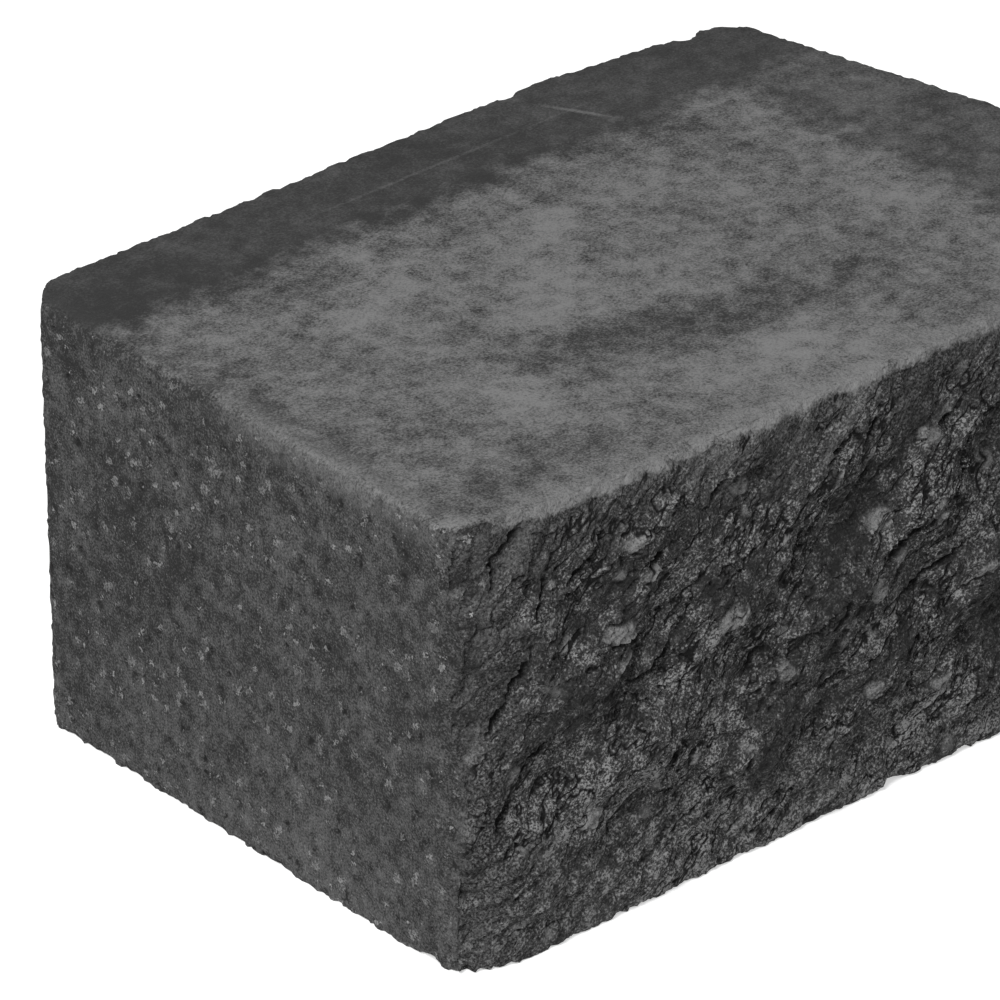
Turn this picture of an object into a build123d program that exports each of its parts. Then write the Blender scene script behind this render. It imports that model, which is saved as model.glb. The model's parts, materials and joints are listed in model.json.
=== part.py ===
"""Corner wall block: one piece of dry-cast concrete with a split front.

The block is moulded with a flat top, bed, back and two ends. Its front is broken off a
longer casting between two blades, one along the bed and one along the top, so the front
is a rough fracture that the blades hold straight along those two edges.

Frame: +Z up, origin on the bed, midway along the front and midway between the split
line and the back corners. The square corner end is at -X, the tapered butt end at +X,
the split front faces -Y. Millimetres and degrees.
"""

from build123d import *
import os
from math import cos, pi, radians, sin, tan

# Moulded body; the depth runs from the split line on the bed to the back corners
FRONT_LENGTH = 294.0
DEPTH = 182.5
HEIGHT = 130.0
END_TAPER = 11.5
CORNER_CHAMFER = 9.5
BUTT_CHAMFER = 7.0
TOP_ARRIS_RADIUS = 2.0

# The back is bent: how far the bend stands out, and its distance from the butt end
BACK_BEND = 5.5
BACK_BEND_INSET = 66.0

# Casting in front of the split line, broken away with the other half
SPLIT_ALLOWANCE = 30.0

# The fracture between the blades: lean back to the top, bow of its top edge, and bulge
SPLIT_LEAN = 4.0
TOP_BOW = 4.5
FACE_BULGE = 3.0

# Shear ledges, climbing from the corner end towards the butt end
LEDGE_SPACING = 36.0
LEDGE_HEIGHT = 2.0
LEDGE_SLANT = 42.0

# Lumps that the broken stones left, in rows across the ledges
LUMP_SPACING = 45.0
LUMP_HEIGHT = 1.4
LUMP_SLANT = -38.0

# Longer swells under both
SWELL_SPACING = 74.0
SWELL_HEIGHT = 1.3
SWELL_SLANT = 12.0

# Crests wander from side to side along their length
CREST_WANDER = 5.0
CREST_WANDER_LENGTH = 83.0

# Edges of the fracture that crumbled back: depth at the edge, reach into the face
CORNER_BREAK = 4.5
CORNER_REACH = 24.0
BUTT_BREAK = 5.0
BUTT_REACH = 18.0
ARRIS_BREAK = 0.8
ARRIS_REACH = 6.0

# Spacing of the points that carry the fracture surface, and its overhang past the block
FRACTURE_PITCH = 6.0
FRACTURE_OVERHANG = 5.0


def moulded_blank():
    """The casting before it is split: an extruded plan with its top arrises rounded."""
    lean = tan(radians(END_TAPER))
    corner_x = -FRONT_LENGTH / 2
    butt_x = FRONT_LENGTH / 2 - DEPTH * lean
    waste_y = -DEPTH / 2 - SPLIT_ALLOWANCE
    plan = make_face(
        Polyline(
            (corner_x, waste_y),
            (FRONT_LENGTH / 2 + SPLIT_ALLOWANCE * lean, waste_y),
            (butt_x, DEPTH / 2),
            (butt_x - BACK_BEND_INSET, DEPTH / 2 + BACK_BEND),
            (corner_x, DEPTH / 2),
            close=True,
        )
    )
    plan = chamfer(plan.vertices().sort_by(Axis.X)[-2], BUTT_CHAMFER)
    plan = chamfer(plan.vertices().group_by(Axis.X)[0].sort_by(Axis.Y)[-1], CORNER_CHAMFER)
    blank = extrude(plan, HEIGHT)
    return fillet(blank.edges().group_by(Axis.Z)[-1], TOP_ARRIS_RADIUS)


def crest(x, z, spacing, slant):
    """Height, from -1 to 1, of wandering crests that climb at the slant angle."""
    along = x * cos(radians(slant)) + z * sin(radians(slant))
    across = x * sin(radians(slant)) - z * cos(radians(slant))
    across += CREST_WANDER * sin(2 * pi * along / CREST_WANDER_LENGTH)
    return sin(2 * pi * across / spacing)


def crumbled(distance, depth, reach):
    """How far a broken edge falls back at a distance from it."""
    return depth * max(0.0, 1 - distance / reach) ** 2


def fracture_point(x, z):
    """Point of the fracture in front of, or behind, the split line."""
    height_share = min(max(z / HEIGHT, 0.0), 1.0)
    proud = height_share * (TOP_BOW * cos(pi * x / FRONT_LENGTH) - SPLIT_LEAN)
    relief = FACE_BULGE
    relief += LEDGE_HEIGHT * crest(x, z, LEDGE_SPACING, LEDGE_SLANT)
    relief += LUMP_HEIGHT * crest(x, z, LUMP_SPACING, LUMP_SLANT)
    relief += SWELL_HEIGHT * crest(x, z, SWELL_SPACING, SWELL_SLANT)
    proud += relief * sin(pi * height_share)
    proud -= crumbled(FRONT_LENGTH / 2 + x, CORNER_BREAK, CORNER_REACH)
    proud -= crumbled(FRONT_LENGTH / 2 - x, BUTT_BREAK, BUTT_REACH)
    proud -= crumbled(HEIGHT - z, ARRIS_BREAK, ARRIS_REACH)
    proud -= crumbled(z, ARRIS_BREAK, ARRIS_REACH)
    return (x, -DEPTH / 2 - proud, z)


def spaced(start, end):
    """Even steps of about the fracture pitch from start to end."""
    steps = max(4, round((end - start) / FRACTURE_PITCH))
    return [start + (end - start) * step / steps for step in range(steps + 1)]


def broken_waste():
    """Everything in front of the fracture, which the splitter takes off the blank."""
    lean = tan(radians(END_TAPER))
    butt_edge = FRONT_LENGTH / 2 + SPLIT_ALLOWANCE * lean
    columns = spaced(-FRONT_LENGTH / 2 - FRACTURE_OVERHANG, butt_edge + FRACTURE_OVERHANG)
    rows = spaced(-FRACTURE_OVERHANG, HEIGHT + FRACTURE_OVERHANG)
    fracture = Face.make_surface_from_array_of_points(
        [[fracture_point(x, z) for z in rows] for x in columns]
    )
    return extrude(fracture, amount=2 * SPLIT_ALLOWANCE, dir=(0, -1, 0))


def corner_block():
    """The blank with the waste broken off its front."""
    return moulded_blank() - broken_waste()


os.makedirs("parts", exist_ok=True)
export_step(corner_block(), "parts/corner_block.step")
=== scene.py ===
"""Corner wall block, dressed: a split concrete block on a pale studio floor.

The block's own shape comes from the frame. This file gives it the relief that is too fine
for the solid, the finish of its pressed, moulded and split faces, and the studio.
Lengths in the lists and the settings are millimetres where the name or the text says so.
"""

import json
import math
from functools import partial

import bpy
from bpy.props import FloatProperty, FloatVectorProperty, IntProperty, PointerProperty
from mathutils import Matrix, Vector


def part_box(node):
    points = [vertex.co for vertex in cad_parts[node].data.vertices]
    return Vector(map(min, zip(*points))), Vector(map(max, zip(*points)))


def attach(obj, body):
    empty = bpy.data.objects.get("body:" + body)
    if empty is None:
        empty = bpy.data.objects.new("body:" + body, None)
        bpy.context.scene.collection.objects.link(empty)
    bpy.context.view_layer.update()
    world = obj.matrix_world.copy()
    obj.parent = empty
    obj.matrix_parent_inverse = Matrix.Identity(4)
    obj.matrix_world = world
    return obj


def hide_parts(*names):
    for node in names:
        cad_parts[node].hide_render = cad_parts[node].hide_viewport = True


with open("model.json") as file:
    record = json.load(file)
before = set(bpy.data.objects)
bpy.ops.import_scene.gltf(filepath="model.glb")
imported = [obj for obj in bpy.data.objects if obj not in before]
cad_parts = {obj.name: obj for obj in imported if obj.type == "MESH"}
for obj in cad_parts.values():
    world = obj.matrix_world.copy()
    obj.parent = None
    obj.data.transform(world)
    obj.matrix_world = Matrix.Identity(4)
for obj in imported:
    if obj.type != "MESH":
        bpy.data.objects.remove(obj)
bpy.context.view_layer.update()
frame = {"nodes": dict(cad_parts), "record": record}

bl_info = {
    "name": "Corner wall block",
    "version": (1, 0, 0),
    "blender": (4, 5, 0),
    "location": "View3D > Sidebar > Wall block",
    "description": "Dresses a split concrete corner block and sets it in a studio",
    "category": "Add Mesh",
}

NODE = "corner_block"
MM = 0.001
LOW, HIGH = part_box(NODE)
MOUNTS = {mount["name"]: mount for mount in frame["record"]["mounts"]}

# Planes of the moulded block, in millimetres
CORNER_END_X = LOW.x / MM
BACK_Y = HIGH.y / MM
TOP_Z = HIGH.z / MM
SPLIT_Y = -91.25
TOP_ARRIS_RADIUS = 2.0
BUTT_POINT = Vector(MOUNTS["butt_end"]["pos_m"]) / MM
BUTT_NORMAL = Vector(MOUNTS["butt_end"]["axis"])

# Far edges of the plate that pressed the top, where its pale bloom stops
PLATE_X = 84.0
PLATE_Y = 57.0

# How much bloom is missing on the bare rims beyond those edges
BACK_RIM = -0.5
BUTT_RIM = -0.32

# Widths of the concrete's markings, in millimetres
GRAIN_SIZE = 0.7
FLECK_SIZE = 0.65
SPOT_SIZE = 3.4
SAND_SPACING = 4.2
BLOTCH_SIZE = 6.0
CLOUD_SIZE = 30.0

# Widths of the fracture's forms and of the wear, in millimetres
FISSURE_SPACING = 8.0
RIDGE_SIZE = 3.2
STEP_BEND_SIZE = 28.0
STEP_PATCH_SIZE = 12.0
STONE_WANDER = 5.0
SMALL_STONE_SPACING = 11.0
CHIP_SIZE = 4.0
WEAR_SIZE = 9.0
WEAR_REACH = 15.0
KNOCK_GRAIN = 3.0

# How far from the bed and the top the splitter's blades hold the fracture, in millimetres
BLADE_REACH = 9.0

# How many times paler the palest flecks are than the darkest paste
FLECK_CONTRAST = 22.0

# Facets of the fracture: width in millimetres, stretch along the shear, tilt
FACETS = (
    (16, 1.7, 0.09),
    (6.5, 1.6, 0.17),
    (3.0, 1.4, 0.2),
)

# Broken stones in the split face: x, z, half length, half width, turn in degrees
STONES = (
    (-97, 86, 6.2, 2.8, -6),
    (-95, 76, 4.4, 2.0, 30),
    (-92, 111, 4.4, 1.9, 12),
    (-87, 100, 2.7, 2.0, 30),
    (-60, 77, 4.6, 3.1, 30),
    (-42, 55, 4.0, 2.8, -55),
    (-41, 93, 2.2, 1.6, 20),
    (-23, 105, 1.8, 1.5, 0),
    (-18, 60, 2.1, 1.5, 30),
    (-8, 65, 3.2, 2.6, 20),
    (-6, 86, 4.4, 3.0, 0),
    (-9, 36, 3.2, 2.8, -40),
    (9, 106, 2.1, 1.6, 20),
    (13, 81, 1.7, 2.2, -10),
    (19, 28, 4.3, 1.9, 8),
    (30, 60, 2.6, 1.8, 30),
    (-108, 36, 3.8, 2.6, 25),
    (-115, 89, 2.6, 1.8, 30),
    (-73, 40, 1.8, 1.6, 0),
)

# Open cracks in the split face: x, z, half length, half width, turn in degrees
CRACKS = (
    (-136, 115, 4.0, 0.8, 74),
    (-131, 122.5, 7.0, 0.9, 42),
    (-123, 105, 5.0, 0.9, 60),
    (-136, 74, 5.5, 0.9, 58),
    (-130, 85, 8.0, 0.9, 65),
    (-135, 46, 5.0, 1.5, 54),
    (-122, 60, 5.8, 0.9, 43),
    (-108, 109, 7.0, 1.0, 40),
    (-103, 115, 2.4, 0.9, 80),
    (-111, 103, 2.6, 0.8, 33),
    (-94, 82.5, 6.2, 0.8, 0),
    (-82, 73, 4.0, 1.0, 47),
    (-88, 70, 4.2, 0.9, 13),
    (-86, 103, 2.8, 0.9, 56),
    (-64, 114, 4.6, 0.8, 33),
    (-55, 30, 3.6, 0.8, 77),
    (-50, 60, 5.2, 1.0, 42),
    (-35, 88, 6.8, 0.7, 78),
    (-23, 65, 5.6, 0.9, 61),
    (-22, 43, 4.2, 0.8, 20),
    (-21, 112, 5.2, 0.8, 24),
    (-14, 99, 6.0, 1.0, 44),
    (-11, 114, 4.4, 1.0, 48),
    (-5, 31, 6.0, 0.8, 73),
    (2, 77, 10.0, 0.9, 28),
    (13, 42, 3.2, 0.7, 34),
    (13, 63, 12.0, 0.9, 23),
    (17, 107, 2.6, 1.6, 12),
    (62, 88, 9.0, 1.0, 48),
    (88, 47, 8.0, 1.0, 38),
    (112, 92, 7.0, 0.9, 52),
)

# Knocks on the arrises, each the ball that bit it: x, y, z, radius
KNOCKS = (
    (-151, -96, -5, 14.0),
    (3, -95, -2.5, 7.5),
    (30, -95, -2.5, 6.5),
    (28, 99, 132.5, 6.5),
    (93, 94, 132.5, 6.5),
    (-150, -95, 134, 9.0),
    (-149, -75, -4, 6.5),
)

# Bloom on the pressed top: x, y, half length, half width, turn in degrees, weight
BLOOM = (
    (-48, -31, 24, 9, -8, -0.24),
    (-20, -43, 30, 10, -14, -0.24),
    (22, -42, 38, 12, 6, -0.24),
    (34, -64, 28, 14, 10, -0.16),
    (3, -1, 15, 8, 0, -0.12),
    (-132, 50, 22, 26, -35, -0.12),
    (-20, 48, 80, 13, -2, -0.22),
    (-128, -34, 26, 52, 0, -0.17),
    (-124, -72, 26, 6, 0, -0.22),
    (-148, -10, 14, 90, 0, -0.12),
    (-22, -68, 14, 8, 0, 0.20),
    (-130, -62, 8, 9, 0, 0.14),
    (-72, 31, 8, 10, -30, 0.16),
    (-34, 27, 24, 9, 5, 0.12),
    (70, 46, 10, 14, 20, 0.16),
    (36, 74, 9, 0.9, -62, 0.40),
    (-15, 74, 42, 0.6, 2, 0.20),
)


# Studio, in metres: floor, and the place and width of the two soft boxes
FLOOR_SIZE = 12.0
FLOOR_GLOW = 0.5
KEY_PLACE = (-1.6, -0.75, 2.0)
KEY_SIZE = 1.0
FILL_PLACE = (0.6, -2.2, 0.9)
FILL_SIZE = 1.6
SENSOR_MM = 36.0


def hex_colour(text):
    """Linear colour of an sRGB hex value."""
    channels = [int(text[i : i + 2], 16) / 255 for i in (1, 3, 5)]
    linear = [c / 12.92 if c <= 0.04045 else ((c + 0.055) / 1.055) ** 2.4 for c in channels]
    return (*linear, 1.0)


def add_node(tree, kind, inputs=None, output=0, **settings):
    """Adds a node with its settings, values and links, and gives one of its outputs."""
    node = tree.nodes.new(kind)
    for name, value in settings.items():
        setattr(node, name, value)
    for socket, value in (inputs or {}).items():
        if isinstance(value, bpy.types.NodeSocket):
            tree.links.new(value, node.inputs[socket])
        else:
            node.inputs[socket].default_value = value
    return node.outputs[output] if node.outputs else node


class BlockSettings(bpy.types.PropertyGroup):
    """Sizes and colours of the dressed block."""

    voxel: FloatProperty(
        name="Remesh size", description="Size of the even mesh that carries the relief",
        default=1.0 * MM, unit="LENGTH", precision=5,
    )
    triangle_limit: IntProperty(
        name="Triangles", description="Most triangles that the finished block may have",
        default=190000,
    )
    lump_size: FloatProperty(
        name="Lump size", description="Width of the fracture's lumps, in mm", default=14.0,
    )
    lump_height: FloatProperty(
        name="Lump height", description="Height of the fracture's lumps, in mm", default=2.2,
    )
    shear_slant: FloatProperty(
        name="Shear slant", description="Climb of the shear lines towards the butt end",
        default=math.radians(44), subtype="ANGLE",
    )
    shear_height: FloatProperty(
        name="Shear height", description="Height of the fine shear ridges, in mm", default=1.1,
    )
    step_spacing: FloatProperty(
        name="Step spacing", description="Distance between shear steps, in mm", default=17.0,
    )
    step_height: FloatProperty(
        name="Step height", description="Height of a shear step, in mm", default=1.8,
    )
    stone_rise: FloatProperty(
        name="Stone rise", description="How far broken stones stand proud, in mm", default=0.7,
    )
    crack_depth: FloatProperty(
        name="Crack depth", description="Depth of the open cracks, in mm", default=2.4,
    )
    lip: FloatProperty(
        name="Lip", description="How far the broken edge along the bed stands out, in mm", default=1.3,
    )
    chip_depth: FloatProperty(
        name="Chip depth", description="Depth of the chips along the arrises, in mm", default=1.1,
    )
    pit_depth: FloatProperty(
        name="Pit depth", description="Depth of the pits in the moulded sides, in mm", default=0.8,
    )
    bloom: FloatVectorProperty(
        name="Bloom", description="Pale lime bloom on the middle of the pressed top",
        subtype="COLOR", size=4, default=hex_colour("#7c7c7c"),
    )
    pressed: FloatVectorProperty(
        name="Pressed top", description="Bare paste of the pressed top",
        subtype="COLOR", size=4, default=hex_colour("#313131"),
    )
    moulded: FloatVectorProperty(
        name="Moulded side", description="Sandy skin of the moulded sides",
        subtype="COLOR", size=4, default=hex_colour("#404040"),
    )
    speck: FloatVectorProperty(
        name="Sand grain", description="Pale sand grains in the moulded sides and worn arrises",
        subtype="COLOR", size=4, default=hex_colour("#b0b0b0"),
    )
    # Also the painted shade in the pits of the moulded sides.
    split_paste_and_pit_shade: FloatVectorProperty(
        name="Split, dark", description="Broken paste in the split face, and pits",
        subtype="COLOR", size=4, default=hex_colour("#1c1c1c"),
    )
    split_light: FloatVectorProperty(
        name="Split, light", description="Pale flecks of the split face",
        subtype="COLOR", size=4, default=hex_colour("#808080"),
    )
    stone: FloatVectorProperty(
        name="Broken stone", description="Stones broken through in the split face",
        subtype="COLOR", size=4, default=hex_colour("#7a7a7a"),
    )
    # Painted shade: the near black that the material paints into the open cracks and fissures.
    crack: FloatVectorProperty(
        name="Open crack", description="Dark of the open cracks and fissures",
        subtype="COLOR", size=4, default=hex_colour("#080808"),
    )


class StageSettings(bpy.types.PropertyGroup):
    """Camera and light of the studio."""

    azimuth: FloatProperty(
        name="Azimuth", description="Turn of the camera round the block",
        default=math.radians(-41.17), subtype="ANGLE",
    )
    elevation: FloatProperty(
        name="Elevation", description="Height of the camera above the horizon",
        default=math.radians(29.12), subtype="ANGLE",
    )
    distance: FloatProperty(
        name="Distance", description="Camera to the point it is aimed at",
        default=1.799, unit="LENGTH",
    )
    lens: FloatProperty(
        name="Lens", description="Focal length for a sensor of 36 mm", default=240.8,
        unit="CAMERA",
    )
    aim: FloatVectorProperty(
        name="Aim", description="Point that the camera is aimed at", size=3,
        default=(-0.0495, 0.0086, 0.065), subtype="TRANSLATION",
    )
    key_power: FloatProperty(
        name="Key light", description="Power of the soft box above the corner end",
        default=66.0, unit="POWER",
    )
    fill_power: FloatProperty(
        name="Fill light", description="Power of the soft box beside the split face",
        default=6.0, unit="POWER",
    )
    sky: FloatProperty(
        name="Sky", description="Strength of the even light from all round", default=0.3,
    )
    floor: FloatVectorProperty(
        name="Floor", description="Colour of the studio floor",
        subtype="COLOR", size=4, default=hex_colour("#e2e2e2"),
    )


def activate(piece):
    """Makes a piece the only selected object."""
    bpy.ops.object.select_all(action="DESELECT")
    piece.select_set(True)
    bpy.context.view_layer.objects.active = piece


def cast_copy(name):
    """A new object with the frame's own solid, its loose triangles merged."""
    piece = bpy.data.objects.new(name, frame["nodes"][NODE].data.copy())
    bpy.context.scene.collection.objects.link(piece)
    activate(piece)
    bpy.ops.object.mode_set(mode="EDIT")
    bpy.ops.mesh.select_all(action="SELECT")
    bpy.ops.mesh.remove_doubles(threshold=0.001 * MM)
    bpy.ops.object.mode_set(mode="OBJECT")
    return piece


def apply_modifier(piece, kind, **settings):
    """Adds a modifier to the active piece, sets it and applies it."""
    bpy.ops.object.modifier_add(type=kind)
    modifier = piece.modifiers[-1]
    for name, value in settings.items():
        setattr(modifier, name, value)
    bpy.ops.object.modifier_apply(modifier=modifier.name)


def refine_front(piece):
    """Cuts the faces of the split front in two each way, so that they carry more relief."""
    mesh = piece.data
    bpy.ops.object.mode_set(mode="EDIT")
    bpy.ops.mesh.select_all(action="DESELECT")
    bpy.ops.object.mode_set(mode="OBJECT")
    for face in mesh.polygons:
        face.select = face.normal.y < -0.4
    bpy.ops.object.mode_set(mode="EDIT")
    bpy.ops.mesh.select_mode(type="FACE")
    bpy.ops.mesh.subdivide(number_cuts=1)
    bpy.ops.object.mode_set(mode="OBJECT")


def oval(add, plane, centre, half_length, half_width, turn, soft):
    """1 inside an oval on the plane, falling to 0 at its rim over the soft share."""
    place = add("ShaderNodeVectorMath", {0: plane, 1: (*centre, 0)}, operation="SUBTRACT")
    place = add(
        "ShaderNodeVectorRotate", {"Vector": place, "Angle": -math.radians(turn)}, rotation_type="Z_AXIS"
    )
    place = add("ShaderNodeVectorMath", {0: place, 1: (half_length, half_width, 1)}, operation="DIVIDE")
    reach = add("ShaderNodeVectorMath", {0: place}, "Value", operation="LENGTH")
    return add(
        "ShaderNodeMapRange", {"Value": reach, "From Min": 1 + soft / 2, "From Max": 1 - soft / 2},
        interpolation_type="SMOOTHSTEP",
    )


def shear_plane(add, place, settings):
    """The split face's own plane turned so that x runs along the shear and y across it."""
    x, y, z = add("ShaderNodeSeparateXYZ", {0: place}).node.outputs
    plane = add("ShaderNodeCombineXYZ", {"X": x, "Y": z})
    return plane, add(
        "ShaderNodeVectorRotate", {"Vector": plane, "Angle": -settings.shear_slant}, rotation_type="Z_AXIS"
    )


def fissure_level(add, shear):
    """Wandering level, drawn out along the shear, whose zero contours are the fissures."""
    stretched = add("ShaderNodeVectorMath", {0: shear, 1: (0.3, 1, 1)}, operation="MULTIPLY")
    level = add(
        "ShaderNodeTexNoise",
        {"Vector": stretched, "Scale": 1 / FISSURE_SPACING, "Detail": 3.0, "Roughness": 0.6},
        noise_dimensions="2D",
    )
    return add("ShaderNodeMath", {0: level, 1: 0.5}, operation="SUBTRACT")


def spot_level(add, place):
    """Noise whose peaks are sand grains and whose hollows are pits, in the moulded sides."""
    return add(
        "ShaderNodeTexNoise", {"Vector": place, "Scale": 1 / SPOT_SIZE, "Detail": 3.5, "Roughness": 0.6}
    )


def relief_group(settings, solid):
    """Geometry nodes that break up the split face, pit the sides and knock the arrises.

    The stones and open cracks are also kept as attributes, for the material, which paints shade into the
    cracks.
    """
    tree = bpy.data.node_groups.new("concrete_relief", "GeometryNodeTree")
    tree.interface.new_socket("Geometry", in_out="INPUT", socket_type="NodeSocketGeometry")
    tree.interface.new_socket("Geometry", in_out="OUTPUT", socket_type="NodeSocketGeometry")
    add = partial(add_node, tree)

    place = add("GeometryNodeInputPosition")
    place = add("ShaderNodeVectorMath", {0: place, "Scale": 1 / MM}, operation="SCALE")
    normal = add("GeometryNodeInputNormal")
    facing = add("ShaderNodeVectorMath", {0: normal, 1: (0, -1, 0)}, "Value", operation="DOT_PRODUCT")
    front = add(
        "ShaderNodeMapRange", {"Value": facing, "From Min": 0.5, "From Max": 0.85},
        interpolation_type="SMOOTHSTEP",
    )
    plane, shear = shear_plane(add, place, settings)

    # Ragged outlines for the stones and cracks
    wander = add(
        "ShaderNodeTexNoise",
        {"Vector": plane, "Scale": 1 / STONE_WANDER, "Detail": 3.0, "Roughness": 0.6}, "Color",
        noise_dimensions="2D",
    )
    wander = add("ShaderNodeVectorMath", {0: wander, 1: (0.5, 0.5, 0.5)}, operation="SUBTRACT")
    wander = add("ShaderNodeVectorMath", {0: wander, "Scale": STONE_WANDER}, operation="SCALE")
    ragged = add("ShaderNodeVectorMath", {0: plane, 1: wander}, operation="ADD")
    half_wander = add("ShaderNodeVectorMath", {0: wander, "Scale": 0.5}, operation="SCALE")
    uneven = add("ShaderNodeVectorMath", {0: plane, 1: half_wander}, operation="ADD")
    cells = add(
        "ShaderNodeTexVoronoi", {"Vector": ragged, "Scale": 1 / SMALL_STONE_SPACING},
        voronoi_dimensions="2D",
    ).node.outputs
    chosen = add("ShaderNodeSeparateXYZ", {0: cells["Color"]}, "X")
    radius = add("ShaderNodeMapRange", {"Value": chosen, "From Max": 0.35, "To Min": 0.27, "To Max": 0.05})
    inside = add("ShaderNodeMath", {0: radius, 1: cells["Distance"]}, operation="SUBTRACT")
    stones = add("ShaderNodeMapRange", {"Value": inside, "From Max": 0.06, "To Max": 0.55})
    for x, z, length, width, turn in STONES:
        stone = oval(add, uneven, (x, z), length, width, turn, 0.25)
        stones = add("ShaderNodeMath", {0: stones, 1: stone}, operation="MAXIMUM")
    cracks = 0.0
    for x, z, length, width, turn in CRACKS:
        crack = oval(add, uneven, (x, z), length, width, turn, 1.0)
        cracks = add("ShaderNodeMath", {0: cracks, 1: crack}, operation="MAXIMUM")

    # Lumps, fine shear ridges, fissures and steps, whose risers face down towards the butt end
    lumps = add(
        "ShaderNodeTexNoise",
        {"Vector": plane, "Scale": 1 / settings.lump_size, "Detail": 5.0, "Roughness": 0.55},
        noise_dimensions="2D",
    )
    lumps = add("ShaderNodeMath", {0: lumps, 1: 0.5}, operation="SUBTRACT")
    stretched = add("ShaderNodeVectorMath", {0: shear, 1: (0.42, 1, 1)}, operation="MULTIPLY")
    ridges = add(
        "ShaderNodeTexNoise",
        {"Vector": stretched, "Scale": 1 / RIDGE_SIZE, "Detail": 3.0, "Roughness": 0.55},
        noise_dimensions="2D",
    )
    ridges = add("ShaderNodeMath", {0: ridges, 1: 0.5}, operation="SUBTRACT")
    bend = add(
        "ShaderNodeTexNoise", {"Vector": plane, "Scale": 1 / STEP_BEND_SIZE, "Detail": 3.0},
        noise_dimensions="2D",
    )
    across = add("ShaderNodeSeparateXYZ", {0: shear}, "Y")
    saw = add("ShaderNodeMath", {0: across, 1: -1 / settings.step_spacing}, operation="MULTIPLY")
    saw = add("ShaderNodeMath", {0: bend, 1: 2.4, 2: saw}, operation="MULTIPLY_ADD")
    saw = add("ShaderNodeMath", {0: saw}, operation="FRACT")
    shows = add(
        "ShaderNodeTexNoise", {"Vector": stretched, "Scale": 1 / STEP_PATCH_SIZE, "Detail": 1.0},
        noise_dimensions="2D",
    )
    shows = add("ShaderNodeMapRange", {"Value": shows, "From Min": 0.5, "From Max": 0.62})
    steps = add("ShaderNodeMath", {0: saw, 1: shows}, operation="MULTIPLY")
    fissures = add("ShaderNodeMath", {0: fissure_level(add, shear)}, operation="ABSOLUTE")
    fissures = add("ShaderNodeMapRange", {"Value": fissures, "From Min": 0.05, "From Max": 0.01})

    relief = add("ShaderNodeMath", {0: lumps, 1: 2 * settings.lump_height}, operation="MULTIPLY")
    for part, height in (
        (ridges, settings.shear_height),
        (steps, settings.step_height),
        (stones, settings.stone_rise),
        (fissures, -settings.crack_depth / 4),
        (cracks, -settings.crack_depth),
    ):
        relief = add("ShaderNodeMath", {0: part, 1: height, 2: relief}, operation="MULTIPLY_ADD")

    # Facets: each cell of the fracture is tilted its own way
    for size, stretch, tilt in FACETS:
        cell_plane = add("ShaderNodeVectorMath", {0: shear, 1: (1 / stretch, 1, 0)}, operation="MULTIPLY")
        cell = add(
            "ShaderNodeTexVoronoi", {"Vector": cell_plane, "Scale": 1 / size}, voronoi_dimensions="2D"
        ).node.outputs
        lean = add("ShaderNodeVectorMath", {0: cell["Color"], 1: (0.5, 0.5, 0.5)}, operation="SUBTRACT")
        lean = add("ShaderNodeVectorMath", {0: lean, "Scale": 2 * tilt}, operation="SCALE")
        arm = add("ShaderNodeVectorMath", {0: cell_plane, 1: cell["Position"]}, operation="SUBTRACT")
        facet = add("ShaderNodeVectorMath", {0: arm, 1: lean}, "Value", operation="DOT_PRODUCT")
        relief = add("ShaderNodeMath", {0: relief, 1: facet}, operation="ADD")

    # The splitter's blades hold the fracture along the bed and the top, and leave a lip at the bed
    height = add("ShaderNodeSeparateXYZ", {0: place}, "Z")
    below_top = add("ShaderNodeMath", {0: TOP_Z, 1: height}, operation="SUBTRACT")
    free = add("ShaderNodeMath", {0: height, 1: below_top}, operation="MINIMUM")
    free = add("ShaderNodeMapRange", {"Value": free, "From Max": BLADE_REACH, "To Min": 0.12})
    free = add("ShaderNodeMath", {0: free, 1: front}, operation="MULTIPLY")
    relief = add("ShaderNodeMath", {0: relief, 1: free}, operation="MULTIPLY")
    lip = add("ShaderNodeMapRange", {
        "Value": height, "From Max": BLADE_REACH, "To Min": settings.lip, "To Max": 0.0,
    })
    lip = add("ShaderNodeMath", {0: lip, 1: front}, operation="MULTIPLY")
    relief = add("ShaderNodeMath", {0: relief, 1: lip}, operation="ADD")
    relief = add("ShaderNodeMath", {0: relief, 1: -MM}, operation="MULTIPLY")
    offset = add("ShaderNodeCombineXYZ", {"Y": relief})

    # Chips along every arris, where the rounded top ones have facets at small angles; pits in the sides
    angle = add("GeometryNodeInputMeshEdgeAngle")
    least = add("ShaderNodeMapRange", {
        "Value": height, "From Min": TOP_Z - TOP_ARRIS_RADIUS - 0.2, "From Max": TOP_Z - TOP_ARRIS_RADIUS,
        "To Min": 0.5, "To Max": 0.1,
    })
    sharp = add("FunctionNodeCompare", {0: angle, 1: least}, operation="GREATER_THAN")
    source = add("GeometryNodeObjectInfo", {"Object": solid}, "Geometry")
    edges = add("GeometryNodeSeparateGeometry", {"Geometry": source, "Selection": sharp}, domain="EDGE")
    near = add("GeometryNodeProximity", {0: edges}, "Distance", target_element="EDGES")
    near = add("ShaderNodeMapRange", {"Value": near, "From Min": 4.0 * MM, "From Max": 0.5 * MM})
    chips = add(
        "ShaderNodeTexNoise", {"Vector": place, "Scale": 1 / CHIP_SIZE, "Detail": 4.0, "Roughness": 0.6}
    )
    chips = add("ShaderNodeMapRange", {"Value": chips, "From Min": 0.38, "From Max": 0.68})
    chips = add("ShaderNodeMath", {0: chips, 1: near}, operation="MULTIPLY")
    chips = add("ShaderNodeMath", {0: chips, 1: -settings.chip_depth * MM}, operation="MULTIPLY")
    level = add("ShaderNodeVectorMath", {0: normal, 1: (0, 0, 1)}, "Value", operation="DOT_PRODUCT")
    upright = add("ShaderNodeMath", {0: level}, operation="ABSOLUTE")
    upright = add("ShaderNodeMapRange", {"Value": upright, "From Min": 0.5, "From Max": 0.2})
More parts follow.
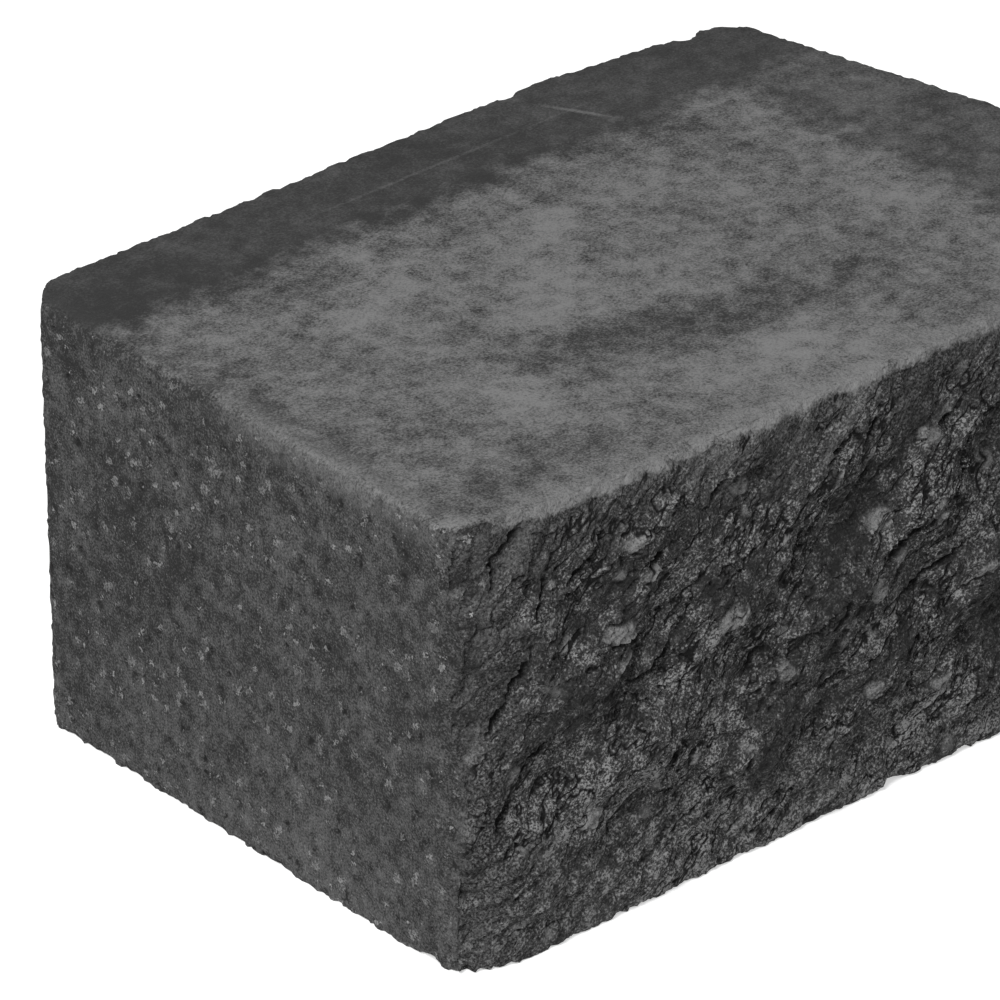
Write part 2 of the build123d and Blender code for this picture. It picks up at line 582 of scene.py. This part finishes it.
    pits = add("ShaderNodeMapRange", {"Value": spot_level(add, place), "From Min": 0.37, "From Max": 0.3})
    pits = add("ShaderNodeMath", {0: pits, 1: upright}, operation="MULTIPLY")
    pit_depth = -settings.pit_depth * MM
    inward = add("ShaderNodeMath", {0: pits, 1: pit_depth, 2: chips}, operation="MULTIPLY_ADD")
    inward = add("ShaderNodeVectorMath", {0: normal, "Scale": inward}, operation="SCALE")
    offset = add("ShaderNodeVectorMath", {0: offset, 1: inward}, operation="ADD")

    # The upright arris between the corner end and the split is worn back
    arris = add("ShaderNodeVectorMath", {0: place, 1: (CORNER_END_X, SPLIT_Y, 0)}, operation="SUBTRACT")
    arris = add("ShaderNodeVectorMath", {0: arris, 1: (1, 1, 0)}, operation="MULTIPLY")
    arris = add("ShaderNodeVectorMath", {0: arris}, "Value", operation="LENGTH")
    arris = add(
        "ShaderNodeMapRange", {"Value": arris, "From Min": WEAR_REACH, "From Max": 0.0},
        interpolation_type="SMOOTHSTEP",
    )
    ragged_wear = add("ShaderNodeTexNoise", {"Vector": place, "Scale": 1 / WEAR_SIZE, "Detail": 3.0})
    ragged_wear = add("ShaderNodeMapRange", {
        "Value": ragged_wear, "From Min": 0.3, "From Max": 0.7, "To Min": 0.4 * MM, "To Max": 3.0 * MM,
    })
    worn = add("ShaderNodeMath", {0: arris, 1: ragged_wear}, operation="MULTIPLY")
    worn = add("ShaderNodeCombineXYZ", {"X": worn, "Y": worn})
    offset = add("ShaderNodeVectorMath", {0: offset, 1: worn}, operation="ADD")

    # Knocks push the surface out of each ball
    rough = add("ShaderNodeTexNoise", {"Vector": place, "Scale": 1 / KNOCK_GRAIN, "Detail": 3.0})
    rough = add("ShaderNodeMapRange", {"Value": rough, "To Min": 0.75, "To Max": 1.25})
    for x, y, z, radius in KNOCKS:
        arm = add("ShaderNodeVectorMath", {0: place, 1: (x, y, z)}, operation="SUBTRACT")
        reach = add("ShaderNodeVectorMath", {0: arm}, "Value", operation="LENGTH")
        depth = add("ShaderNodeMath", {0: rough, 1: radius}, operation="MULTIPLY")
        depth = add("ShaderNodeMath", {0: depth, 1: reach}, operation="SUBTRACT")
        depth = add("ShaderNodeMath", {0: depth, 1: 0.0}, operation="MAXIMUM")
        push = add("ShaderNodeVectorMath", {0: arm}, operation="NORMALIZE")
        depth = add("ShaderNodeMath", {0: depth, 1: MM}, operation="MULTIPLY")
        push = add("ShaderNodeVectorMath", {0: push, "Scale": depth}, operation="SCALE")
        offset = add("ShaderNodeVectorMath", {0: offset, 1: push}, operation="ADD")

    geometry = add("NodeGroupInput")
    for name, share in (("stone", stones), ("crack", cracks)):
        geometry = add(
            "GeometryNodeStoreNamedAttribute", {"Geometry": geometry, "Name": name, "Value": share}
        )
    moved = add("GeometryNodeSetPosition", {"Geometry": geometry, "Offset": offset})
    add("NodeGroupOutput", {0: moved})
    return tree


def concrete_material(settings):
    """Dry-cast charcoal concrete, matt all over.

    Pressed on top: smooth paste under a cloudy lime bloom, with bare rims beyond the plate.
    Moulded on the sides: an even sandy skin with pale sand grains and a few pits painted dark as shade.
    Split in front: dark broken paste with pale flecks, broken stones, and open cracks and fissures painted
    near black as shade.
    """
    material = bpy.data.materials.new("dry_cast_charcoal_concrete")
    material.use_nodes = True
    tree = material.node_tree
    tree.nodes.clear()
    add = partial(add_node, tree)
    place = add("ShaderNodeTexCoord", None, "Object")
    place = add("ShaderNodeVectorMath", {0: place, "Scale": 1 / MM}, operation="SCALE")
    x, y, z = add("ShaderNodeSeparateXYZ", {0: place}).node.outputs
    top_plane = add("ShaderNodeCombineXYZ", {"X": x, "Y": y})

    # Grain, blotches and clouds, as differences from their mean
    grain, blotch, cloud = (
        add("ShaderNodeMath", {
            0: add("ShaderNodeTexNoise", {
                "Vector": place, "Scale": 1 / size, "Detail": detail, "Roughness": rough,
            }),
            1: 0.5,
        }, operation="SUBTRACT")
        for size, detail, rough in (
            (GRAIN_SIZE, 2.0, 0.75), (BLOTCH_SIZE, 3.0, 0.62), (CLOUD_SIZE, 3.0, 0.62),
        )
    )

    # Where each face is, with ragged borders; the split's top edge falls back towards the corner
    from_corner = add("ShaderNodeMath", {0: x, 1: CORNER_END_X}, operation="SUBTRACT")
    from_front = add("ShaderNodeMath", {0: y, 1: SPLIT_Y}, operation="SUBTRACT")
    from_back = add("ShaderNodeMath", {0: BACK_Y, 1: y}, operation="SUBTRACT")
    from_butt = add("ShaderNodeVectorMath", {0: BUTT_POINT, 1: place}, operation="SUBTRACT")
    from_butt = add(
        "ShaderNodeVectorMath", {0: from_butt, 1: BUTT_NORMAL}, "Value", operation="DOT_PRODUCT"
    )
    rim_inset = add("ShaderNodeMath", {0: from_back, 1: from_butt}, operation="MINIMUM")
    fallen_back = add("ShaderNodeMapRange", {
        "Value": from_corner, "From Max": 36.0, "To Min": 8.0, "To Max": 0.0,
    })
    from_edge = add("ShaderNodeMath", {0: from_front, 1: fallen_back}, operation="SUBTRACT")
    inset = add("ShaderNodeMath", {0: from_corner, 1: from_edge}, operation="MINIMUM")
    inset = add("ShaderNodeMath", {0: inset, 1: rim_inset}, operation="MINIMUM")
    inset = add("ShaderNodeMapRange", {"Value": inset, "From Max": 8.0, "To Max": 4.0})
    turn = add("ShaderNodeMath", {0: from_corner, 1: from_front}, operation="SUBTRACT")
    turn = add("ShaderNodeMath", {0: z, 1: -0.09, 2: turn}, operation="MULTIPLY_ADD")
    turn = add("ShaderNodeMath", {0: blotch, 1: 14.0, 2: turn}, operation="MULTIPLY_ADD")
    in_front = add("ShaderNodeMapRange", {"Value": turn, "From Min": -9.0, "From Max": -4.0})
    near_front = add("ShaderNodeMapRange", {"Value": from_front, "From Min": 16.0, "From Max": 10.0})
    in_front = add("ShaderNodeMath", {0: in_front, 1: near_front}, operation="MULTIPLY")
    lift = add("ShaderNodeMath", {0: z, 1: inset}, operation="ADD")
    lift = add("ShaderNodeMath", {0: blotch, 1: 7.0, 2: lift}, operation="MULTIPLY_ADD")
    lift = add("ShaderNodeMath", {0: grain, 1: 2.0, 2: lift}, operation="MULTIPLY_ADD")
    lift = add("ShaderNodeMath", {0: in_front, 1: 2.2, 2: lift}, operation="MULTIPLY_ADD")
    on_top = add("ShaderNodeMapRange", {"Value": lift, "From Min": TOP_Z - 1.0, "From Max": TOP_Z + 0.6})

    # Pressed top: bare rims beyond the plate, then how much bloom covers the paste
    rims = []
    for along, plate_edge, bare in ((y, PLATE_Y, BACK_RIM), (x, PLATE_X, BUTT_RIM)):
        rim = add("ShaderNodeMath", {0: plate_edge, 1: along}, operation="SUBTRACT")
        rim = add("ShaderNodeMath", {0: blotch, 1: 12.0, 2: rim}, operation="MULTIPLY_ADD")
        rim = add("ShaderNodeMath", {0: cloud, 1: 18.0, 2: rim}, operation="MULTIPLY_ADD")
        rims.append(add("ShaderNodeMapRange", {
            "Value": rim, "From Min": -5.0, "From Max": 8.0, "To Min": bare, "To Max": 0.0,
        }))
    rim = add("ShaderNodeMath", {0: rims[0], 1: rims[1]}, operation="MINIMUM")
    calm = add("ShaderNodeMath", {0: rim, 1: 1.1, 2: 1.0}, operation="MULTIPLY_ADD")
    share = add("ShaderNodeMath", {0: grain, 1: 1.9}, operation="MULTIPLY")
    share = add("ShaderNodeMath", {0: blotch, 1: 1.4, 2: share}, operation="MULTIPLY_ADD")
    share = add("ShaderNodeMath", {0: cloud, 1: 1.0, 2: share}, operation="MULTIPLY_ADD")
    share = add("ShaderNodeMath", {0: share, 1: calm, 2: 0.46}, operation="MULTIPLY_ADD")
    share = add("ShaderNodeMath", {0: share, 1: rim}, operation="ADD")
    for px, py, length, width, patch_turn, weight in BLOOM:
        patch = oval(add, top_plane, (px, py), length, width, patch_turn, 1.4)
        share = add("ShaderNodeMath", {0: patch, 1: weight, 2: share}, operation="MULTIPLY_ADD")
    smear = add("ShaderNodeMath", {0: blotch, 1: 10.0, 2: from_edge}, operation="MULTIPLY_ADD")
    smear = add("ShaderNodeMapRange", {"Value": smear, "From Min": 7.0, "From Max": 2.0, "To Max": 0.2})
    share = add("ShaderNodeMath", {0: share, 1: smear}, operation="ADD")
    pores = add("ShaderNodeMath", {0: blotch, 1: 0.7, 2: grain}, operation="MULTIPLY_ADD")
    pores = add("ShaderNodeMapRange", {
        "Value": pores, "From Min": -0.16, "From Max": -0.26, "To Max": -0.15,
    })
    share = add("ShaderNodeMath", {0: share, 1: pores}, operation="ADD")
    share = add(
        "ShaderNodeMapRange", {"Value": share, "From Min": -0.3, "From Max": 1.0},
        interpolation_type="SMOOTHSTEP",
    )
    top = add("ShaderNodeMix", {0: share, 6: settings.pressed, 7: settings.bloom}, 2, data_type="RGBA")

    # Moulded sides: grain, painted bounce light paler along the bed and painted shade on the far end, then
    # pale sand grains, then pits painted dark as shade
    # Painted bounce light: the sides and the split grow paler towards the bed, as if lit from the floor.
    painted_bed_bounce = add("ShaderNodeMath", {0: blotch, 1: 40.0, 2: z}, operation="MULTIPLY_ADD")
    painted_bed_bounce = add("ShaderNodeMapRange", {"Value": painted_bed_bounce, "From Min": 46.0, "From Max": 2.0})
    spots = spot_level(add, place)
    mottle = add("ShaderNodeMath", {0: spots, 1: 0.5}, operation="SUBTRACT")
    tone = add("ShaderNodeMath", {0: grain, 1: 5.6, 2: 0.95}, operation="MULTIPLY_ADD")
    tone = add("ShaderNodeMath", {0: mottle, 1: 2.9, 2: tone}, operation="MULTIPLY_ADD")
    tone = add("ShaderNodeMath", {0: blotch, 1: 2.4, 2: tone}, operation="MULTIPLY_ADD")
    tone = add("ShaderNodeMath", {0: cloud, 1: 1.4, 2: tone}, operation="MULTIPLY_ADD")
    tone = add("ShaderNodeMath", {0: painted_bed_bounce, 1: 0.46, 2: tone}, operation="MULTIPLY_ADD")
    # Painted shade: the far part of the sides, away from the split, is darkened.
    painted_far_shade = add("ShaderNodeMapRange", {
        "Value": from_front, "From Min": 90.0, "From Max": 125.0, "To Max": -0.12,
    })
    tone = add("ShaderNodeMath", {0: tone, 1: painted_far_shade}, operation="ADD")
    tone = add("ShaderNodeMath", {0: tone, 1: 0.4}, operation="MAXIMUM")
    sides = add(
        "ShaderNodeMix", {0: 1.0, 6: settings.moulded, 7: tone}, 2, data_type="RGBA",
        blend_type="MULTIPLY",
    )
    swirl = add("ShaderNodeVectorMath", {0: (2.0, 7.0, -5.0), "Scale": mottle}, operation="SCALE")
    swirl = add("ShaderNodeVectorMath", {0: place, 1: swirl}, operation="ADD")
    cells = add("ShaderNodeTexVoronoi", {"Vector": swirl, "Scale": 1 / SAND_SPACING}).node.outputs
    chance = add("ShaderNodeTexWhiteNoise", {"Vector": cells["Position"]}, "Value")
    radius = add("ShaderNodeMapRange", {"Value": chance, "From Min": 0.5, "To Min": 0.4, "To Max": 0.1})
    radius = add("ShaderNodeMath", {0: grain, 1: 0.7, 2: radius}, operation="MULTIPLY_ADD")
    sand = add("ShaderNodeMath", {0: radius, 1: cells["Distance"]}, operation="SUBTRACT")
    sand = add("ShaderNodeMapRange", {"Value": sand, "From Max": 0.09})
    pale = add("ShaderNodeMapRange", {"Value": chance, "From Min": 0.5, "To Min": 0.08, "To Max": 0.56})
    pale = add("ShaderNodeMath", {0: grain, 1: 0.8, 2: pale}, operation="MULTIPLY_ADD", use_clamp=True)
    sand = add("ShaderNodeMath", {0: sand, 1: pale}, operation="MULTIPLY")
    picked = add("ShaderNodeMath", {0: chance, 1: 0.5}, operation="GREATER_THAN")
    sand = add("ShaderNodeMath", {0: sand, 1: picked}, operation="MULTIPLY")
    tiny = add("ShaderNodeMapRange", {"Value": grain, "From Min": 0.2, "From Max": 0.26, "To Max": 0.8})
    sand = add("ShaderNodeMath", {0: sand, 1: tiny}, operation="MAXIMUM")
    sides = add("ShaderNodeMix", {0: sand, 6: sides, 7: settings.speck}, 2, data_type="RGBA")
    # Painted shade: the hollows that the relief pits into the sides are darkened with the split's dark
    # paste colour.
    pits = add("ShaderNodeMapRange", {"Value": spots, "From Min": 0.37, "From Max": 0.31, "To Max": 0.8})
    sides = add("ShaderNodeMix", {0: pits, 6: sides, 7: settings.split_paste_and_pit_shade}, 2, data_type="RGBA")

    # Split front: flecks drawn out along the shear, stones, and cracks and fissures painted near black as
    # shade
    plane, shear = shear_plane(add, place, settings)
    drawn = add(
        "ShaderNodeVectorRotate", {"Vector": place, "Angle": settings.shear_slant}, rotation_type="Y_AXIS"
    )
    drawn = add("ShaderNodeVectorMath", {0: drawn, 1: (0.86, 1, 1)}, operation="MULTIPLY")
    fleck = add(
        "ShaderNodeTexNoise", {"Vector": drawn, "Scale": 1 / FLECK_SIZE, "Detail": 2.0, "Roughness": 0.7}
    )
    level = fissure_level(add, shear)
    crumbly = add("ShaderNodeMath", {0: blotch, 1: 0.8, 2: cloud}, operation="MULTIPLY_ADD")
    crumbly = add("ShaderNodeMapRange", {
        "Value": crumbly, "From Min": -0.14, "From Max": 0.16, "To Min": 2.6, "To Max": 4.6,
    })
    flecks = add("ShaderNodeMath", {0: fleck, 1: 0.5}, operation="SUBTRACT")
    flecks = add("ShaderNodeMath", {0: flecks, 1: crumbly, 2: 0.41}, operation="MULTIPLY_ADD")
    flecks = add("ShaderNodeMath", {0: level, 1: 0.7, 2: flecks}, operation="MULTIPLY_ADD")
    flecks = add("ShaderNodeMath", {0: mottle, 1: 1.8, 2: flecks}, operation="MULTIPLY_ADD")
    flecks = add("ShaderNodeMath", {0: blotch, 1: 1.0, 2: flecks}, operation="MULTIPLY_ADD")
    flecks = add("ShaderNodeMath", {0: cloud, 1: 1.1, 2: flecks}, operation="MULTIPLY_ADD")
    # Painted bounce light: more pale flecks towards the bed.
    flecks = add("ShaderNodeMath", {0: painted_bed_bounce, 1: 0.24, 2: flecks}, operation="MULTIPLY_ADD")
    # Painted shade: the split is darkened in an oval below the top by the corner end and, less, in a broad
    # oval over its butt-end half.
    shaded = oval(add, plane, (-128, 124), 40, 30, 0, 1.6)
    flecks = add("ShaderNodeMath", {0: shaded, 1: -0.2, 2: flecks}, operation="MULTIPLY_ADD")
    painted_shade_butt_half = oval(add, plane, (45, 82), 110, 62, 0, 1.6)
    flecks = add("ShaderNodeMath", {0: painted_shade_butt_half, 1: -0.11, 2: flecks}, operation="MULTIPLY_ADD")
    flecks = add("ShaderNodeMath", {0: FLECK_CONTRAST, 1: flecks}, operation="POWER")
    flecks = add("ShaderNodeMath", {0: flecks, 1: 1 / FLECK_CONTRAST}, operation="MULTIPLY", use_clamp=True)
    sheared = add("ShaderNodeMath", {0: TOP_Z, 1: z}, operation="SUBTRACT")
    sheared = add("ShaderNodeMath", {0: from_corner, 1: sheared}, operation="MINIMUM")
    sheared = add("ShaderNodeMath", {0: blotch, 1: 50.0, 2: sheared}, operation="MULTIPLY_ADD")
    sheared = add("ShaderNodeMapRange", {
        "Value": sheared, "From Min": 24.0, "From Max": 8.0, "To Max": 0.65,
    })
    smooth = add("ShaderNodeMath", {0: level, 1: 0.8, 2: 0.26}, operation="MULTIPLY_ADD")
    smooth = add("ShaderNodeMath", {0: fleck, 1: 1.8, 2: smooth}, operation="MULTIPLY_ADD")
    smooth = add("ShaderNodeMath", {0: smooth, 1: 0.9}, operation="SUBTRACT")
    flecks = add("ShaderNodeMix", {0: sheared, 2: flecks, 3: smooth})
    front = add(
        "ShaderNodeMix", {0: flecks, 6: settings.split_paste_and_pit_shade, 7: settings.split_light}, 2, data_type="RGBA"
    )
    stone = add("ShaderNodeAttribute", None, "Fac", attribute_name="stone")
    dusty = add("ShaderNodeMath", {0: grain, 1: 3.2, 2: 0.72}, operation="MULTIPLY_ADD", use_clamp=True)
    dusty = add("ShaderNodeMath", {0: dusty, 1: stone}, operation="MULTIPLY")
    front = add("ShaderNodeMix", {0: dusty, 6: front, 7: settings.stone}, 2, data_type="RGBA")
    # Painted shade: near black along the fissures and in the open cracks, over the hollows that the relief
    # cuts there.
    fissure_shade = add("ShaderNodeMath", {0: level}, operation="ABSOLUTE")
    fissure_shade = add("ShaderNodeMapRange", {"Value": fissure_shade, "From Min": 0.03, "From Max": 0.008})
    here = add("ShaderNodeMapRange", {"Value": cloud, "From Min": -0.08, "From Max": 0.02})
    fissure_shade = add("ShaderNodeMath", {0: fissure_shade, 1: here}, operation="MULTIPLY")
    crack = add("ShaderNodeAttribute", None, "Fac", attribute_name="crack")
    crack = add("ShaderNodeMath", {0: fissure_shade, 1: crack}, operation="MAXIMUM")
    crack = add("ShaderNodeMath", {0: crack, 1: 0.95}, operation="MULTIPLY")
    front = add("ShaderNodeMix", {0: crack, 6: front, 7: settings.crack}, 2, data_type="RGBA")

    # The faces together; the arris over the corner end is rubbed pale
    colour = add("ShaderNodeMix", {0: in_front, 6: sides, 7: front}, 2, data_type="RGBA")
    colour = add("ShaderNodeMix", {0: on_top, 6: colour, 7: top}, 2, data_type="RGBA")
    to_arris = add("ShaderNodeVectorMath", {0: place, 1: (CORNER_END_X, 0, TOP_Z)}, operation="SUBTRACT")
    to_arris = add("ShaderNodeVectorMath", {0: to_arris, 1: (1, 0, 1)}, operation="MULTIPLY")
    to_arris = add("ShaderNodeVectorMath", {0: to_arris}, "Value", operation="LENGTH")
    to_arris = add("ShaderNodeMath", {0: blotch, 1: 16.0, 2: to_arris}, operation="MULTIPLY_ADD")
    to_arris = add("ShaderNodeMath", {0: grain, 1: 10.0, 2: to_arris}, operation="MULTIPLY_ADD")
    rubbed = add("ShaderNodeMapRange", {
        "Value": to_arris, "From Min": 7.5, "From Max": 0.5, "To Max": 0.62,
    })
    rubbed_here = add("ShaderNodeMath", {0: from_front, 1: 52.0}, operation="SUBTRACT")
    rubbed_here = add("ShaderNodeMath", {0: rubbed_here}, operation="ABSOLUTE")
    rubbed_here = add("ShaderNodeMath", {0: cloud, 1: 60.0, 2: rubbed_here}, operation="MULTIPLY_ADD")
    rubbed_here = add("ShaderNodeMapRange", {
        "Value": rubbed_here, "From Min": 48.0, "From Max": 28.0, "To Min": 0.12,
    })
    rubbed = add("ShaderNodeMath", {0: rubbed, 1: rubbed_here}, operation="MULTIPLY")
    sandy = add("ShaderNodeMath", {0: grain, 1: 2.6, 2: 0.74}, operation="MULTIPLY_ADD", use_clamp=True)
    rubbed = add("ShaderNodeMath", {0: rubbed, 1: sandy}, operation="MULTIPLY")
    colour = add("ShaderNodeMix", {0: rubbed, 6: colour, 7: settings.bloom}, 2, data_type="RGBA")

    # Relief too fine for the mesh, in millimetres
    side_height = add("ShaderNodeMath", {0: grain, 1: 0.3}, operation="MULTIPLY")
    height = add("ShaderNodeMath", {0: fleck, 1: 0.5}, operation="MULTIPLY")
    height = add("ShaderNodeMix", {0: near_front, 2: side_height, 3: height})
    normal = add("ShaderNodeBump", {"Height": height, "Strength": 1.0, "Distance": MM})
    shader = add("ShaderNodeBsdfPrincipled", {
        "Base Color": colour, "Roughness": 0.9, "Specular IOR Level": 0.12, "Normal": normal,
    })
    add("ShaderNodeOutputMaterial", {"Surface": shader})
    return material


class WALLBLOCK_OT_block(bpy.types.Operator):
    """Dress the corner block: fine relief over the solid, and concrete all round"""

    bl_idname = "wallblock.block"
    bl_label = "Corner block"

    def execute(self, context):
        settings = context.scene.wall_block
        solid = cast_copy("block_edges")
        piece = cast_copy("split_block")
        apply_modifier(piece, "REMESH", mode="VOXEL", voxel_size=settings.voxel)
        refine_front(piece)
        apply_modifier(piece, "NODES", node_group=relief_group(settings, solid))
        piece.data.calc_loop_triangles()
        thinning = settings.triangle_limit / len(piece.data.loop_triangles)
        apply_modifier(piece, "DECIMATE", ratio=min(1.0, thinning))
        bpy.data.objects.remove(solid)

        bpy.ops.object.shade_smooth_by_angle(angle=math.radians(35))
        apply_modifier(piece, "WEIGHTED_NORMAL", keep_sharp=True)
        piece.data.materials.clear()
        piece.data.materials.append(concrete_material(settings))
        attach(piece, "root")
        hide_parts(NODE)
        return {"FINISHED"}


class WALLBLOCK_OT_stage(bpy.types.Operator):
    """Set the studio: pale floor, soft light and the camera"""

    bl_idname = "wallblock.stage"
    bl_label = "Studio"

    def execute(self, context):
        scene = context.scene
        settings = scene.wall_stage
        scene.view_settings.view_transform = "Standard"

        bpy.ops.object.select_all(action="DESELECT")
        bpy.ops.mesh.primitive_plane_add(size=FLOOR_SIZE, location=(0, 0, 0))
        floor = context.active_object
        floor.name = "studio_floor"
        floor.data.materials.append(self.floor_material(settings))

        self.light_world(scene, settings)
        self.add_light("key_light", KEY_PLACE, KEY_SIZE, settings.key_power)
        self.add_light("fill_light", FILL_PLACE, FILL_SIZE, settings.fill_power)

        turn, rise = settings.azimuth, settings.elevation
        back = Vector((
            math.sin(turn) * math.cos(rise), -math.cos(turn) * math.cos(rise), math.sin(rise),
        ))
        bpy.ops.object.camera_add(
            location=Vector(settings.aim) + back * settings.distance,
            rotation=(math.pi / 2 - rise, 0, turn),
        )
        camera = context.active_object
        camera.data.sensor_width = SENSOR_MM
        camera.data.lens = settings.lens
        scene.camera = camera
        return {"FINISHED"}

    def seen_rays(self, add):
        """1 for the rays that show a background: the camera's, mirrored and through glass."""
        rays = add("ShaderNodeLightPath").node.outputs
        seen = rays["Is Camera Ray"]
        for other in ("Is Glossy Ray", "Is Transmission Ray"):
            seen = add("ShaderNodeMath", {0: seen, 1: rays[other]}, operation="MAXIMUM")
        return seen

    def floor_material(self, settings):
        """Matt pale floor that looks white to the camera where no shadow falls on it."""
        material = bpy.data.materials.new("matt_pale_floor")
        material.use_nodes = True
        tree = material.node_tree
        tree.nodes.clear()
        add = partial(add_node, tree)
        matt = add("ShaderNodeBsdfDiffuse", {"Color": settings.floor})
        glow = add("ShaderNodeEmission", {"Color": (1, 1, 1, 1), "Strength": FLOOR_GLOW})
        lifted = add("ShaderNodeAddShader", {0: matt, 1: glow})
        seen = self.seen_rays(add)
        shader = add("ShaderNodeMixShader", {0: seen, 1: matt, 2: lifted})
        add("ShaderNodeOutputMaterial", {"Surface": shader})
        return material

    def light_world(self, scene, settings):
        """Soft light from all round, white where a ray from the camera meets it."""
        world = bpy.data.worlds.new("studio")
        scene.world = world
        world.use_nodes = True
        tree = world.node_tree
        tree.nodes.clear()
        add = partial(add_node, tree)
        seen = self.seen_rays(add)
        strength = add("ShaderNodeMapRange", {"Value": seen, "To Min": settings.sky, "To Max": 1.0})
        sky = add("ShaderNodeBackground", {"Color": (1, 1, 1, 1), "Strength": strength})
        add("ShaderNodeOutputWorld", {"Surface": sky})

    def add_light(self, name, place, size, power):
        """A square soft box aimed at the middle of the block."""
        aim = (Vector((0, 0, HIGH.z / 2)) - Vector(place)).to_track_quat("-Z", "Y")
        bpy.ops.object.light_add(type="AREA", location=place, rotation=aim.to_euler())
        light = bpy.context.active_object
        light.name = name
        light.data.size = size
        light.data.energy = power


class WALLBLOCK_PT_panel(bpy.types.Panel):
    """Wall block tools"""

    bl_idname = "WALLBLOCK_PT_panel"
    bl_label = "Wall block"
    bl_space_type = "VIEW_3D"
    bl_region_type = "UI"
    bl_category = "Wall block"

    def draw(self, context):
        for operator in OPERATORS:
            self.layout.operator(operator.bl_idname)
        for settings in (context.scene.wall_block, context.scene.wall_stage):
            column = self.layout.column()
            for name in settings.__annotations__:
                column.prop(settings, name)


OPERATORS = (WALLBLOCK_OT_block, WALLBLOCK_OT_stage)
CLASSES = (BlockSettings, StageSettings, *OPERATORS, WALLBLOCK_PT_panel)


def register():
    for cls in CLASSES:
        bpy.utils.register_class(cls)
    bpy.types.Scene.wall_block = PointerProperty(type=BlockSettings)
    bpy.types.Scene.wall_stage = PointerProperty(type=StageSettings)


def unregister():
    del bpy.types.Scene.wall_stage
    del bpy.types.Scene.wall_block
    for cls in reversed(CLASSES):
        bpy.utils.unregister_class(cls)


def main():
    register()
    bpy.ops.wallblock.block()
    bpy.ops.wallblock.stage()


if __name__ == "__main__":
    main()
